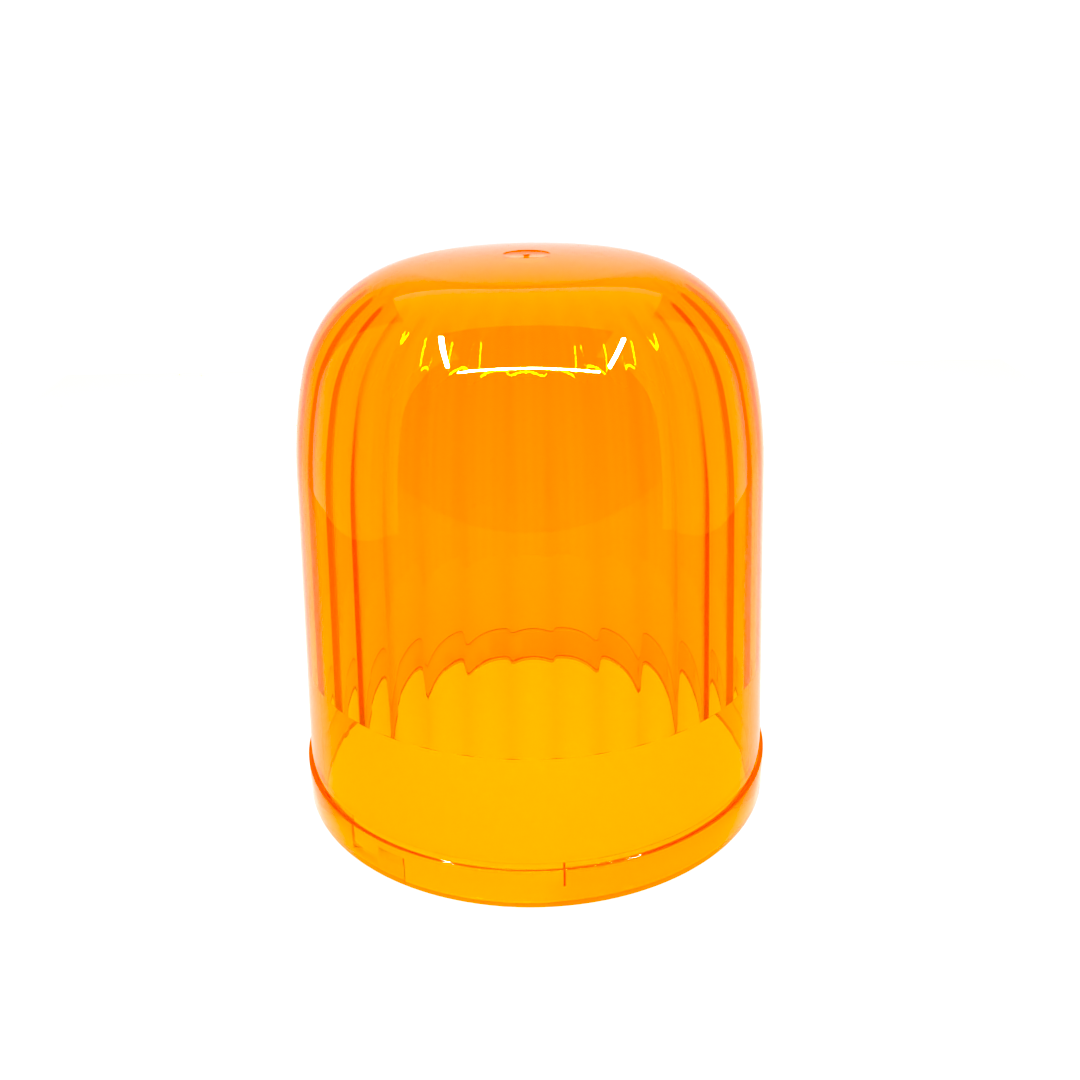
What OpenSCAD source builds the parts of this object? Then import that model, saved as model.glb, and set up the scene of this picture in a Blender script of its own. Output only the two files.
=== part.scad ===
// Amber dome lens of a warning beacon: one injection moulding, open at the bottom.
// Millimetres. The rim stands on z = 0 and the axis of the dome is the z axis.

/* [Rim] */
// Outside diameter of the rim band
rim_d = 130; // [120:1:150]
// Height of the rim band
rim_h = 10.7; // [9:0.1:14]
// Radius on the top outer edge of the rim band
rim_edge_r = 0.4; // [0.2:0.05:0.5]
// Fillet between the ledge of the rim band and the dome
rim_fillet_r = 0.4; // [0.2:0.05:0.4]
// Bore inside the rim band, where the bayonet recesses open
rim_bore_d = 122.2; // [121:0.1:122.4]

/* [Dome outside] */
// Overall height of the lens
lens_h = 146.3; // [135:0.1:170]
// Diameter of the dome where it meets the rim band
body_d = 128.2; // [120:0.1:128.5]
// Draft of the outside wall, in degrees
draft = 2.47; // [1:0.01:3.5]
// Radius of the long curve above the straight wall
haunch_r = 132; // [80:1:200]
// Slope of the surface normal where that curve ends
haunch_a = 14; // [10:0.5:24]
// Radius of the shoulder
shoulder_r = 33.4; // [28:0.1:40]
// Slope of the surface normal where the shoulder ends
shoulder_a = 82.8; // [76:0.1:86]

/* [Inside] */
// Wall at the bottom of a flute
wall = 3; // [2.4:0.1:4]
// How much thinner the plain skirt below the flutes is
skirt_relief = 0.15; // [0.1:0.05:0.4]

/* [Flutes] */
// Number of upright flutes inside the dome
flute_count = 36; // [24:2:48]
// Radius of the flute's cross-section
flute_r = 15; // [12:0.5:20]
// Height at which the ridges between the flutes start
flute_foot = 39.7; // [36:0.1:60]
// Slope of the surface normal where the ridges begin to run out
fade_from = 54; // [50:0.5:58]
// Slope of the surface normal where the ridges are gone
fade_to = 64; // [62:0.5:70]

/* [Bayonet] */
// Number of bayonet recesses in the rim bore
lug_count = 3; // [2:1:4]
// Diameter of the recesses
recess_d = 124.6; // [123.4:0.1:125.4]
// Width of the entry slot, in degrees
entry_a = 38; // [30:0.5:45]
// Width of entry slot and turning channel together, in degrees
channel_a = 55; // [50:0.5:70]
// Bottom and top of the turning channel
channel_z = [5.4, 9.8];
// Bottom and width in degrees of the locking pocket at the channel's end
pocket = [2.5, 9];
// Turn of the first recess's stop face from the front
stop_a = 6.2; // [-20:0.1:20]

/* [Gate mark] */
// Diameter of the recessed disc at the middle of the crown
gate_d = 11.6; // [8:0.1:16]
// Depth of the recessed disc
gate_depth = 0.3; // [0.2:0.05:0.8]
// Diameter of the gate stub inside it
gate_stub_d = 1.6; // [1:0.1:3]

/* [Hidden] */
$fn = 144;

// direction with slope a in a half-plane [radius, height]
function dir(a) = [cos(a), sin(a)];

body_r = body_d / 2;
slope = tan(draft);
crown_run = (1 - sin(shoulder_a)) / cos(shoulder_a);
// rise and run from the top of the straight wall to the end of the shoulder
arcs = haunch_r * (dir(haunch_a) - dir(draft)) + shoulder_r * (dir(shoulder_a) - dir(haunch_a));
// height at which the straight wall ends, so that the crown reaches lens_h
side_top = (lens_h - arcs[1] - crown_run * (body_r + slope * rim_h + arcs[0])) / (1 - crown_run * slope);

function side_x(z) = body_r - slope * (z - rim_h);

haunch_c = [side_x(side_top), side_top] - haunch_r * dir(draft);
shoulder_c = haunch_c + (haunch_r - shoulder_r) * dir(haunch_a);
crown_r = shoulder_c[0] / cos(shoulder_a) + shoulder_r;
crown_c = [0, lens_h - crown_r];
// depth of the skirt's inside, measured along the radius, and height at which it meets the rim bore
skirt_depth = wall / cos(draft) - skirt_relief;
rim_bore_h = rim_h + (body_r - skirt_depth - rim_bore_d / 2) / slope;
// depth of a flute's slice, and depth at which the revolved cavity stays clear of it
flute_cut = 2;
core_depth = wall + 1.5;
// the stretches of a flute cross by this much, on even and on odd flutes,
// so that no two seams meet on a ridge
overlap = [0.15, 0.12];
// the crown is cut a little deeper than the flutes, so that they run out into it
crown_depth = wall - 0.1;

// strip of a disc around centre c, from slope a1 to slope a2
module arc_band(c, r, a1, a2, band = 8) {
  intersection() {
    translate(c) circle(r);
    polygon([
      c + (r - band) * dir(a1),
      c + (r + band) * dir(a1),
      c + (r + band) * dir(a2),
      c + (r - band) * dir(a2)
    ]);
  }
}

// last strip, which reaches the axis
module crown_band(r, a1, band = 8) {
  intersection() {
    translate(crown_c) circle(r);
    polygon([
      crown_c + (r - band) * dir(a1),
      crown_c + (r + band) * dir(a1),
      [0, crown_c[1] + r + band],
      [0, crown_c[1] + r - band]
    ]);
  }
}

// half-section of the dome's outside, from just below the top of the rim band
module dome_section() {
  z0 = rim_h - 1;
  p0 = haunch_c + haunch_r * dir(draft);
  p1 = haunch_c + haunch_r * dir(haunch_a);
  p2 = shoulder_c + shoulder_r * dir(shoulder_a);
  polygon([[0, z0], [side_x(z0), z0], p0, p1, p2, [0, p2[1]]]);
  arc_band(haunch_c, haunch_r, draft, haunch_a);
  arc_band(shoulder_c, shoulder_r, haunch_a, shoulder_a);
  crown_band(crown_r, shoulder_a);
}

// point at depth w under the haunch or the shoulder, where the normal has slope a
function under(w, a) = a < haunch_a
  ? haunch_c + (haunch_r - w) * dir(a)
  : shoulder_c + (shoulder_r - w) * dir(a);

// revolved part of the cavity, clear of the flutes, up to the fade of the ridges
module core_section() {
  low = under(core_depth, draft);
  z0 = flute_foot - 0.5;
  foot = [low[0] + slope * (low[1] - z0), z0];
  steps = [for (a = [draft, 8, haunch_a, 22, 30, 38, 46, fade_from]) under(core_depth, a)];
  top = [0, under(core_depth, fade_from)[1]];
  polygon(concat([[0, z0], foot], steps, [top]));
}

// cavity above the fade of the ridges
module crown_section() {
  low = under(wall + 0.75, fade_from);
  high = under(crown_depth, fade_to);
  end = under(crown_depth, shoulder_a);
  polygon([[0, low[1] - 6], [low[0] - 6, low[1] - 6], low, high, end, [0, end[1]]]);
  arc_band(shoulder_c, shoulder_r - crown_depth, fade_to, shoulder_a);
  crown_band(crown_r - crown_depth, shoulder_a);
}

module rim_section() {
  r = rim_d / 2;
  difference() {
    square([r, rim_h]);
    translate([r - rim_edge_r, rim_h - rim_edge_r]) square(rim_edge_r + 1);
  }
  translate([r - rim_edge_r, rim_h - rim_edge_r]) circle(rim_edge_r);
}

module fillet_section() {
  wall_x = side_x(rim_h + rim_fillet_r);
  difference() {
    translate([wall_x - 1, rim_h - 0.5]) square([1 + rim_fillet_r, 0.5 + rim_fillet_r]);
    translate([wall_x + rim_fillet_r, rim_h + rim_fillet_r]) circle(rim_fillet_r);
  }
}

// rim bore, and above it the plain skirt, parallel to the outside up to the foot of the ridges
module skirt_section() {
  polygon([
    [0, -1],
    [rim_bore_d / 2, -1],
    [rim_bore_d / 2, rim_bore_h],
    [side_x(flute_foot) - skirt_depth, flute_foot],
    [0, flute_foot]
  ]);
}

// slice of the flute's round cross-section at distance x from a sweep centre
module flute_section(x) {
  intersection() {
    translate([x, 0]) circle(flute_r);
    translate([x + flute_r - flute_cut, -flute_r]) square([flute_cut + 1, 2 * flute_r]);
  }
}

// sweep of the flute around a centre in the upright plane, at radius r, from slope a1 to a2
module flute_arc(c, r, a1, a2) {
  translate([c[0], 0, c[1]])
    rotate([90, 0, 0])
      rotate_extrude(angle = a2 - a1, start = a1)
        flute_section(r - flute_r);
}

// one flute: straight part, haunch and shoulder, which cross each other
module flute(cross) {
  run = (side_top - flute_foot) / cos(draft) + 1;
  translate([haunch_c[0], 0, haunch_c[1]])
    rotate([0, -draft, 0])
      translate([0, 0, -run])
        linear_extrude(run)
          flute_section(haunch_r - wall - cross - flute_r);
  flute_arc(haunch_c, haunch_r - wall, draft - 4.5, haunch_a);
  flute_arc(shoulder_c + cross * dir(haunch_a), shoulder_r - wall, haunch_a - 10, fade_to + 1);
}

// ring sector in the rim wall, from angle a over width w and from z0 to z1
module recess(a, w, z0, z1) {
  rotate_extrude(angle = w, start = a)
    translate([rim_bore_d / 2 - 2, z0])
      square([recess_d / 2 - rim_bore_d / 2 + 2, z1 - z0]);
}

module bayonet_recess() {
  recess(-entry_a, entry_a, -1, channel_z[0] + 0.5);
  recess(-channel_a, channel_a, channel_z[0], channel_z[1]);
  recess(-channel_a, pocket[1], pocket[0], channel_z[1] - 0.5);
}

module gate_mark() {
  translate([0, 0, lens_h - gate_depth])
    difference() {
      cylinder(h = 5, d = gate_d);
      translate([0, 0, -1]) cylinder(h = gate_depth + 0.9, d = gate_stub_d);
    }
}

module beacon_lens() {
  color([1, 0.6, 0, 0.45])
    difference() {
      rotate_extrude() {
        dome_section();
        rim_section();
        fillet_section();
      }
      rotate_extrude() {
        skirt_section();
        core_section();
        crown_section();
      }
      for (i = [0:flute_count - 1])
        rotate([0, 0, -90 + i * 360 / flute_count]) flute(overlap[i % 2]);
      for (i = [0:lug_count - 1])
        rotate([0, 0, -90 + stop_a + i * 360 / lug_count]) bayonet_recess();
      gate_mark();
    }
}

beacon_lens();
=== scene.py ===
import math

import bpy
import numpy as np
from mathutils import Matrix, Vector


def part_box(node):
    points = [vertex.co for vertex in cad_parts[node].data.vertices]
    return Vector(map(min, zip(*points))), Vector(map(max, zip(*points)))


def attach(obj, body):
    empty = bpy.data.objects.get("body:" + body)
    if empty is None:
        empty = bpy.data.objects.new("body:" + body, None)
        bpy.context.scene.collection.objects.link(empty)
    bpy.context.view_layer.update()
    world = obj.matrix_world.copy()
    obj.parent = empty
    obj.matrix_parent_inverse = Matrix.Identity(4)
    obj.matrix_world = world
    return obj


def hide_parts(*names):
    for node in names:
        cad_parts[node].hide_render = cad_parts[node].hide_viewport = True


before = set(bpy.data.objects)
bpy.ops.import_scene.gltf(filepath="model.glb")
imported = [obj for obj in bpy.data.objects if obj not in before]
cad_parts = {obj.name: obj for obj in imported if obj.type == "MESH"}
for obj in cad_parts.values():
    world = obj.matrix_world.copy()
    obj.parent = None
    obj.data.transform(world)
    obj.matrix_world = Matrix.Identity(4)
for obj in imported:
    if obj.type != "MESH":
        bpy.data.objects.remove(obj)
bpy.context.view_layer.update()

NODE = "beacon_lens"
LOW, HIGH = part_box(NODE)
MM = 0.001

# The lens, in millimetres and degrees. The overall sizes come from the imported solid.
RIM_R = (HIGH[0] - LOW[0]) / 2 / MM
LENS_H = HIGH[2] / MM
RIM_H = 10.7
RIM_EDGE_R = 0.4
RIM_FILLET_R = 0.4
RIM_BORE_R = 61.1
BODY_R = 64.1
DRAFT = 2.47
HAUNCH_R = 132.0
HAUNCH_A = 14.0
SHOULDER_R = 33.4
SHOULDER_A = 82.8
WALL = 3.0
FLUTES = 36
FLUTE_R = 15.0
FLUTE_FOOT = 39.7
FADE = (54.0, 64.0)
RECESS_R = 61.8
RECESSES = 3
STOP_A = 6.2
ENTRY_A = 38.0
CHANNEL_A = 55.0
CHANNEL_Z = (5.4, 9.8)
POCKET_Z = 2.5
POCKET_A = 9.0
GATE_R = 5.8
GATE_DEPTH = 0.3
STUB_R = 0.8

# Softened edges: bottom edge of the rim (its size and its middle point), crests of the ridges,
# half height of a level edge of a recess and half width of an upright one, and the angle over
# which the entry slot runs out at its stop face.
FOOT_EDGE = (0.15, 0.04)
CREST = 0.0875
LEVEL_EDGE = 1.2
UPRIGHT_EDGE = 0.25
ENTRY_RAMP = 5.0

# Mesh: stations round the axis for each flute and how far they gather at the ridges, steps of an
# arc on the rim, and steps of the wall, haunch, shoulder and crown.
STATIONS = 12
GATHER = 0.75
ARC_STEPS = 6
OUTSIDE_STEPS = (8, 10, 34, 12)
INSIDE_STEPS = (10, 10, 34, 12)
FOOT_STEP = 0.02
SHARP_ANGLE = 32.0


def direction(slope):
    """Unit vector [radius, height] at this slope, in degrees."""
    a = math.radians(slope)
    return np.array([math.cos(a), math.sin(a)])


class Dome:
    """Outside of the dome as an upright line and three arcs, each tangent to the next."""

    def __init__(self):
        self.slope = math.tan(math.radians(DRAFT))
        run = (1 - direction(SHOULDER_A)[1]) / direction(SHOULDER_A)[0]
        arcs = HAUNCH_R * (direction(HAUNCH_A) - direction(DRAFT))
        arcs = arcs + SHOULDER_R * (direction(SHOULDER_A) - direction(HAUNCH_A))
        top = LENS_H - arcs[1] - run * (BODY_R + self.slope * RIM_H + arcs[0])
        self.side_top = top / (1 - run * self.slope)
        self.haunch = np.array([self.side_x(self.side_top), self.side_top]) - HAUNCH_R * direction(DRAFT)
        self.shoulder = self.haunch + (HAUNCH_R - SHOULDER_R) * direction(HAUNCH_A)
        self.crown_r = self.shoulder[0] / direction(SHOULDER_A)[0] + SHOULDER_R
        self.crown = np.array([0.0, LENS_H - self.crown_r])

    def side_x(self, z):
        return BODY_R - self.slope * (z - RIM_H)

    def section(self, depth, z0, steps):
        """Points [radius, height] and slopes of the section moved in by depth, from z0 to the axis."""
        side, haunch, shoulder, crown = steps
        start = self.haunch + (HAUNCH_R - depth) * direction(DRAFT)
        points, slopes = [], []
        for z in np.linspace(z0, start[1], side, endpoint=False):
            points.append([start[0] + self.slope * (start[1] - z), z])
            slopes.append(DRAFT)
        arcs = (
            (self.haunch, HAUNCH_R, DRAFT, HAUNCH_A, haunch),
            (self.shoulder, SHOULDER_R, HAUNCH_A, SHOULDER_A, shoulder),
            (self.crown, self.crown_r, SHOULDER_A, 90.0, crown),
        )
        for centre, radius, a1, a2, count in arcs:
            for a in np.linspace(a1, a2, count, endpoint=False):
                points.append(centre + (radius - depth) * direction(a))
                slopes.append(a)
        return np.array(points), np.array(slopes)


DOME = Dome()


def recess_edges():
    """Two stations at each upright end of the bayonet recesses."""
    half = math.degrees(UPRIGHT_EDGE / RIM_BORE_R)
    edges = []
    for k in range(RECESSES):
        stop = STOP_A + k * 360.0 / RECESSES
        for a in (0.0, -ENTRY_A, -CHANNEL_A, POCKET_A - CHANNEL_A):
            edges += [stop + a - half, stop + a + half]
    return np.array(edges)


def stations():
    """Angles round the axis, in degrees from the front, close together at each ridge and recess end."""
    pitch = 360.0 / FLUTES
    u = np.linspace(-0.5, 0.5, STATIONS + 1)[:-1]
    u = GATHER * 0.5 * np.sin(math.pi * u) + (1 - GATHER) * u
    angles = np.concatenate([(k + u) * pitch for k in range(FLUTES)])
    return np.unique(np.round(np.concatenate([angles % 360, recess_edges() % 360]), 5))


ANGLES = stations()


def rim_bore(z):
    """Radius of the rim's inner wall at height z, for every station."""
    depth = np.zeros(len(ANGLES))
    for k in range(RECESSES):
        a = (ANGLES - STOP_A - k * 360.0 / RECESSES + 180) % 360 - 180
        entry = (a < 0) & (a > -ENTRY_A) & (z < CHANNEL_Z[0])
        channel = (a < 0) & (a > -CHANNEL_A) & (CHANNEL_Z[0] < z < CHANNEL_Z[1])
        pocket = (a < POCKET_A - CHANNEL_A) & (a > -CHANNEL_A) & (POCKET_Z < z < CHANNEL_Z[1])
        depth[entry] = np.minimum(-a[entry] / ENTRY_RAMP, 1.0)
        depth[channel | pocket] = 1.0
    return RIM_BORE_R + depth * (RECESS_R - RIM_BORE_R)


def rim_rings():
    """Outside of the rim band, from the bottom edge over the ledge to the foot of the dome."""
    edge, middle = FOOT_EDGE
    rings = [(RIM_R - edge, 0.0), (RIM_R - middle, middle), (RIM_R, edge), (RIM_R, RIM_H - RIM_EDGE_R)]
    for a in np.linspace(0, 90, ARC_STEPS)[1:]:
        rings.append((RIM_R - RIM_EDGE_R + RIM_EDGE_R * direction(a)[0],
                      RIM_H - RIM_EDGE_R + RIM_EDGE_R * direction(a)[1]))
    z = RIM_H + RIM_FILLET_R
    x = DOME.side_x(z) + RIM_FILLET_R
    for a in np.linspace(270, 180, ARC_STEPS):
        rings.append((x + RIM_FILLET_R * direction(a)[0], z + RIM_FILLET_R * direction(a)[1]))
    return rings


def gate_rings():
    """Recessed disc of the gate mark, from its lip to the top of the stub in the middle."""
    lip = DOME.crown[1] + math.sqrt(DOME.crown_r ** 2 - GATE_R ** 2)
    floor = LENS_H - GATE_DEPTH
    return [
        (GATE_R + 0.08, lip),
        (GATE_R, lip - 0.08),
        (GATE_R - 0.12, floor + 0.03),
        (GATE_R - 0.25, floor),
        (STUB_R + 0.15, floor),
        (STUB_R, floor + 0.1),
        (STUB_R - 0.05, LENS_H - 0.15),
        (STUB_R - 0.15, LENS_H - 0.1),
    ]


def outer_rings():
    """Rings [radius, height] of the outside, from the bottom edge to the gate mark."""
    above_fillet = RIM_H + RIM_FILLET_R + 1.5
    clear_of_gate = GATE_R + 0.3
    points, _ = DOME.section(0.0, above_fillet, OUTSIDE_STEPS)
    return rim_rings() + [tuple(p) for p in points if p[0] > clear_of_gate] + gate_rings()


def ridge_height(root, slope):
    """How far each station of a fluted ring stands in from the bottom of the flutes."""
    n = direction(slope)
    centre = root[0] - FLUTE_R * n[0]
    pitch = 360.0 / FLUTES
    b = np.radians((ANGLES + pitch / 2) % pitch - pitch / 2)
    across = centre * np.sin(b)
    height = FLUTE_R - np.sqrt(FLUTE_R ** 2 - across ** 2) + centre * (1 - np.cos(b)) * n[0]
    limit = height.max() - 2 * CREST
    over = np.maximum(height - limit, 0.0)
    height = np.where(height > limit, limit + 2 * CREST * (1 - np.exp(-over / (2 * CREST))), height)
    t = min(max((slope - FADE[0]) / (FADE[1] - FADE[0]), 0.0), 1.0)
    return height * (1 - t * t * (3 - 2 * t))


def inner_rings():
    """Rings of the inside: (radius per station, height per station), from the bottom edge up."""
    levels = [0.0, 0.2]
    for z in (POCKET_Z, CHANNEL_Z[0], CHANNEL_Z[1]):
        levels += [z - LEVEL_EDGE, z + LEVEL_EDGE]
    depth = WALL / direction(DRAFT)[0]
    bore_top = RIM_H + (BODY_R - depth - RIM_BORE_R) / DOME.slope
    rings = [(rim_bore(z), z) for z in levels + [bore_top]]
    foot = FLUTE_FOOT - FOOT_STEP
    rings.append((DOME.side_x(foot) - depth, foot))
    points, slopes = DOME.section(WALL, FLUTE_FOOT, INSIDE_STEPS)
    for root, slope in zip(points, slopes):
        n = direction(slope)
        height = ridge_height(root, slope)
        rings.append((root[0] - height * n[0], root[1] - height * n[1]))
    return rings


def lens_mesh():
    """The lens as one closed shell: outside and inside are rings of quads, joined at the rim."""
    count = len(ANGLES)
    a = np.radians(ANGLES)
    around = np.arange(count)
    after = (around + 1) % count
    verts, faces = [], []

    def ring(radius, z):
        r = np.broadcast_to(radius, count)
        start = sum(len(v) for v in verts)
        verts.append(np.stack([r * np.sin(a), -r * np.cos(a), np.broadcast_to(z, count)], axis=1) * MM)
        return start

    def band(i, j, turned):
        quads = np.stack([i + around, i + after, j + after, j + around], axis=1)
        faces.extend((quads[:, ::-1] if turned else quads).tolist())

    def cap(i, z, turned):
        tip = sum(len(v) for v in verts)
        verts.append(np.array([[0.0, 0.0, z * MM]]))
        fan = np.stack([i + around, i + after, np.full(count, tip)], axis=1)
        faces.extend((fan[:, ::-1] if turned else fan).tolist())

    outside = [ring(r, z) for r, z in outer_rings()]
    for i, j in zip(outside, outside[1:]):
        band(i, j, False)
    stub_top = gate_rings()[-1][1]
    cap(outside[-1], stub_top, False)
    inside = [ring(r, z) for r, z in inner_rings()]
    for i, j in zip(inside, inside[1:]):
        band(i, j, True)
    cap(inside[-1], LENS_H - WALL, True)
    band(outside[0], inside[0], True)
    mesh = bpy.data.meshes.new("amber_lens")
    mesh.from_pydata(np.concatenate(verts).tolist(), [], faces)
    mesh.polygons.foreach_set("use_smooth", [True] * len(mesh.polygons))
    mesh.set_sharp_from_angle(angle=math.radians(SHARP_ANGLE))
    mesh.validate()
    return mesh


def new_material(name):
    material = bpy.data.materials.new(name)
    material.use_nodes = True
    material.node_tree.nodes.clear()
    return material, material.node_tree


def noise(tree, scale, detail):
    """Noise over the object, in its own coordinates."""
    coords = tree.nodes.new("ShaderNodeTexCoord")
    texture = tree.nodes.new("ShaderNodeTexNoise")
    texture.inputs["Scale"].default_value = scale
    texture.inputs["Detail"].default_value = detail
    tree.links.new(coords.outputs["Object"], texture.inputs["Vector"])
    return texture.outputs["Fac"]


def handling_marks(tree):
    """Roughness: polished, with patches of faint haze."""
    rough = tree.nodes.new("ShaderNodeMapRange")
    rough.inputs["From Min"].default_value = 0.5
    rough.inputs["From Max"].default_value = 0.8
    rough.inputs["To Min"].default_value = 0.0
    rough.inputs["To Max"].default_value = 0.03
    tree.links.new(noise(tree, 60.0, 6.0), rough.inputs["Value"])
    return rough.outputs["Result"]


def mould_texture(tree):
    """Normal: the slight waviness of a moulded face."""
    bump = tree.nodes.new("ShaderNodeBump")
    bump.inputs["Strength"].default_value = 0.15
    bump.inputs["Distance"].default_value = 0.0001
    tree.links.new(noise(tree, 35.0, 2.0), bump.inputs["Height"])
    return bump.outputs["Normal"]


def amber_volume(tree):
    """Tint of the plastic, as absorption per metre in red, green and blue, and a painted glow: orange
    light given off inside the plastic, which brightens the ridge lines.
    """
    density = 2000.0
    per_metre = (5.0, 170.0, 1800.0)
    absorb = tree.nodes.new("ShaderNodeVolumeAbsorption")
    absorb.inputs["Density"].default_value = density
    absorb.inputs["Color"].default_value = tuple(1 - s / density for s in per_metre) + (1.0,)
    # Painted glow: the plastic gives off orange light of its own, standing in for light that is lost in
    # the ridges.
    glow = tree.nodes.new("ShaderNodeEmission")
    glow.inputs["Color"].default_value = (1.0, 0.25, 0.0, 1.0)
    glow.inputs["Strength"].default_value = 8.0
    body = tree.nodes.new("ShaderNodeAddShader")
    tree.links.new(absorb.outputs["Volume"], body.inputs[0])
    tree.links.new(glow.outputs["Emission"], body.inputs[1])
    return body.outputs["Shader"]


def amber_plastic():
    """Clear amber moulding: glass over an absorbing volume with a painted orange glow, and a thin
    translucent veil.
    """
    material, tree = new_material("amber_plastic")
    output = tree.nodes.new("ShaderNodeOutputMaterial")
    glass = tree.nodes.new("ShaderNodeBsdfGlass")
    glass.inputs["IOR"].default_value = 1.49
    tree.links.new(handling_marks(tree), glass.inputs["Roughness"])
    tree.links.new(mould_texture(tree), glass.inputs["Normal"])
    veil = tree.nodes.new("ShaderNodeBsdfTranslucent")
    veil.inputs["Color"].default_value = (1.0, 0.30, 0.0, 1.0)
    mix = tree.nodes.new("ShaderNodeMixShader")
    mix.inputs["Fac"].default_value = 0.06
    tree.links.new(glass.outputs["BSDF"], mix.inputs[1])
    tree.links.new(veil.outputs["BSDF"], mix.inputs[2])
    tree.links.new(mix.outputs["Shader"], output.inputs["Surface"])
    tree.links.new(amber_volume(tree), output.inputs["Volume"])
    return material


def add_lens():
    lens = bpy.data.objects.new("amber_lens", lens_mesh())
    bpy.context.scene.collection.objects.link(lens)
    lens.data.materials.append(amber_plastic())
    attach(lens, "root")
    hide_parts(NODE)


# The light tent and the room, in metres. The sheets' glow is the light that comes through them.
TENT_W = 0.30
TENT_FRONT = -0.19
TENT_MIDDLE = 0.15
TENT_BACK = 0.45
TENT_H = 0.50
OPENING_W = 0.21
OPENING_BACK = -0.01
TABLE_FRONT = -0.44
TABLE_W = 1.2
TABLE_Z = -0.0003
ROOM_W = 2.0
ROOM_Z = TABLE_Z - 0.01
BLACK = (0.0, 0.0, 0.0)
PAPER = (0.17, 0.17, 0.17)
PLAIN = (1.0, 1.0, 1.0)
WARM = (1.0, 1.0, 0.9)
COOL = (0.82, 0.82, 1.0)
FLOOR_GLOW = 0.77
ROOM_GLOW = 0.55
BACK_GLOW = 1.1
SIDE_GLOW = 2.0
TOP_GLOW = 2.1
ROOM_COLOUR = (0.4, 0.4, 0.5)


def one_sided(tree, front):
    """Shader that shows front on the face of a sheet and nothing on its back."""
    geometry = tree.nodes.new("ShaderNodeNewGeometry")
    clear = tree.nodes.new("ShaderNodeBsdfTransparent")
    mix = tree.nodes.new("ShaderNodeMixShader")
    tree.links.new(geometry.outputs["Backfacing"], mix.inputs["Fac"])
    tree.links.new(front, mix.inputs[1])
    tree.links.new(clear.outputs["BSDF"], mix.inputs[2])
    return mix.outputs["Shader"]


def panel(name, corners, glow, tint=PLAIN, colour=BLACK, clear_back=False):
    """Flat sheet through its corners."""
    mesh = bpy.data.meshes.new(name)
    mesh.from_pydata(corners, [], [tuple(range(len(corners)))])
    sheet = bpy.data.objects.new(name, mesh)
    bpy.context.scene.collection.objects.link(sheet)
    material, tree = new_material(name)
    output = tree.nodes.new("ShaderNodeOutputMaterial")
    shader = tree.nodes.new("ShaderNodeBsdfPrincipled")
    shader.inputs["Base Color"].default_value = (*colour, 1.0)
    shader.inputs["Roughness"].default_value = 1.0
    shader.inputs["Specular IOR Level"].default_value = 0.0
    shader.inputs["Emission Color"].default_value = (*tint, 1.0)
    shader.inputs["Emission Strength"].default_value = glow
    surface = shader.outputs["BSDF"]
    if clear_back:
        surface = one_sided(tree, surface)
    tree.links.new(surface, output.inputs["Surface"])
    mesh.materials.append(material)


def ground(name, half_width, front, z, glow, tint, colour):
    """Level sheet back to the tent's back, which can be seen through from below."""
    w, b = half_width, TENT_BACK
    corners = [(-w, front, z), (w, front, z), (w, b, z), (-w, b, z)]
    panel(name, corners, glow, tint, colour, clear_back=True)


def add_tent():
    """White light tent, open at the front, on a white table."""
    w, f, m, b, h = TENT_W, TENT_FRONT, TENT_MIDDLE, TENT_BACK, TENT_H
    z = TABLE_Z
    ground("floor", TABLE_W, TABLE_FRONT, TABLE_Z, FLOOR_GLOW, WARM, PAPER)
    ground("room_floor", ROOM_W, -ROOM_W, ROOM_Z, ROOM_GLOW, COOL, BLACK)
    panel("back_sheet", [(-w, b, z), (w, b, z), (w, b, h), (-w, b, h)], BACK_GLOW)
    for side, x in (("left", -w), ("right", w)):
        panel(side + "_rear_sheet", [(x, m, z), (x, b, z), (x, b, h), (x, m, h)], BACK_GLOW)
        panel(side + "_front_sheet", [(x, f, z), (x, m, z), (x, m, h), (x, f, h)], SIDE_GLOW)
    o, c = OPENING_W, OPENING_BACK
    ceiling = [(-w, b), (-w, f), (-o, f), (-o, c), (o, c), (o, f), (w, f), (w, b)]
    panel("top_sheet", [(x, y, h) for x, y in ceiling], TOP_GLOW)


LAMP_Z = 0.43
LAMP_WIDTH = 0.013
AIM = (0, 0, 0.12)


def strip(name, start, end, power):
    """Strip lamp between two points [x, y] at the lamps' height, facing the lens."""
    start, end = Vector((*start, LAMP_Z)), Vector((*end, LAMP_Z))
    data = bpy.data.lights.new(name, "AREA")
    data.shape = "RECTANGLE"
    data.size = (end - start).length
    data.size_y = LAMP_WIDTH
    data.energy = power
    lamp = bpy.data.objects.new(name, data)
    bpy.context.scene.collection.objects.link(lamp)
    middle = (start + end) / 2
    along = (end - start).normalized()
    facing = (middle - Vector(AIM)).normalized()
    facing = (facing - along * facing.dot(along)).normalized()
    side = facing.cross(along)
    lamp.matrix_world = Matrix((
        (along.x, side.x, facing.x, middle.x),
        (along.y, side.y, facing.y, middle.y),
        (along.z, side.z, facing.z, middle.z),
        (0, 0, 0, 1),
    ))


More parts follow.
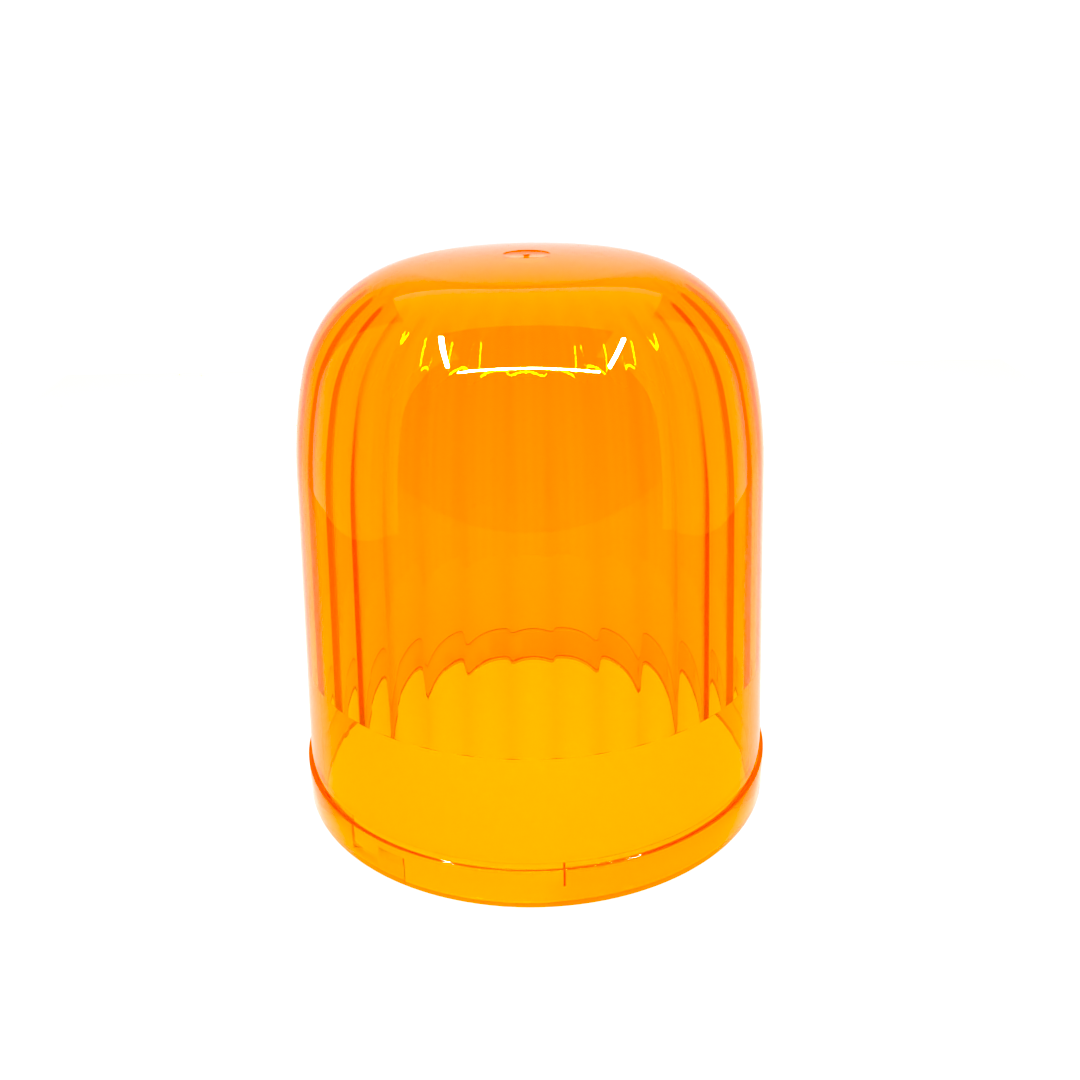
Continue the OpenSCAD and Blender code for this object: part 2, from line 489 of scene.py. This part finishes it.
def add_lights():
    strip("front_lamp", (-0.217, -0.240), (0.225, -0.252), 5.0)
    strip("left_lamp", (-0.231, -0.201), (-0.177, -0.026), 2.0)
    strip("right_lamp", (0.244, -0.217), (0.211, -0.039), 2.0)
    world = bpy.data.worlds.new("room")
    world.use_nodes = True
    world.node_tree.nodes["Background"].inputs["Color"].default_value = (*ROOM_COLOUR, 1.0)
    world.node_tree.nodes["Background"].inputs["Strength"].default_value = 1.0
    bpy.context.scene.world = world


# Camera: place in rim radii, turned round the lens, then its own angles.
CAMERA_DISTANCE = 4.5703
CAMERA_HEIGHT = 3.0102
CAMERA_TURN = 0.446
CAMERA_PITCH = 22.986
CAMERA_YAW = 0.416
CAMERA_ROLL = -0.973
FOCAL_LENGTH = 39.67
SENSOR_WIDTH = 36.0


def add_camera():
    """Camera in front of the lens, looking down on it."""
    data = bpy.data.cameras.new("camera")
    data.sensor_width = SENSOR_WIDTH
    data.lens = FOCAL_LENGTH
    camera = bpy.data.objects.new("camera", data)
    bpy.context.scene.collection.objects.link(camera)
    distance, height = CAMERA_DISTANCE * RIM_R * MM, CAMERA_HEIGHT * RIM_R * MM
    pitch, yaw, roll = (math.radians(a) for a in (CAMERA_PITCH, CAMERA_YAW, CAMERA_ROLL))
    look = Vector((math.sin(yaw) * math.cos(pitch), math.cos(yaw) * math.cos(pitch), -math.sin(pitch)))
    right = look.cross(Vector((0, 0, 1))).normalized()
    up = right.cross(look)
    right, up = math.cos(roll) * right + math.sin(roll) * up, math.cos(roll) * up - math.sin(roll) * right
    place = Matrix((
        (right.x, up.x, -look.x, 0.0),
        (right.y, up.y, -look.y, -distance),
        (right.z, up.z, -look.z, height),
        (0, 0, 0, 1),
    ))
    camera.matrix_world = Matrix.Rotation(math.radians(CAMERA_TURN), 4, "Z") @ place
    bpy.context.scene.camera = camera


def set_view():
    """Plain colours, clipped a little at the dark end, and enough bounces for the clear walls."""
    scene = bpy.context.scene
    scene.view_settings.view_transform = "Standard"
    scene.view_settings.use_curve_mapping = True
    scene.view_settings.curve_mapping.black_level = (0.04, 0.04, 0.2)
    scene.cycles.max_bounces = 24
    scene.cycles.transmission_bounces = 24
    scene.cycles.glossy_bounces = 8
    scene.cycles.sample_clamp_indirect = 300.0


add_lens()
add_tent()
add_lights()
add_camera()
set_view()
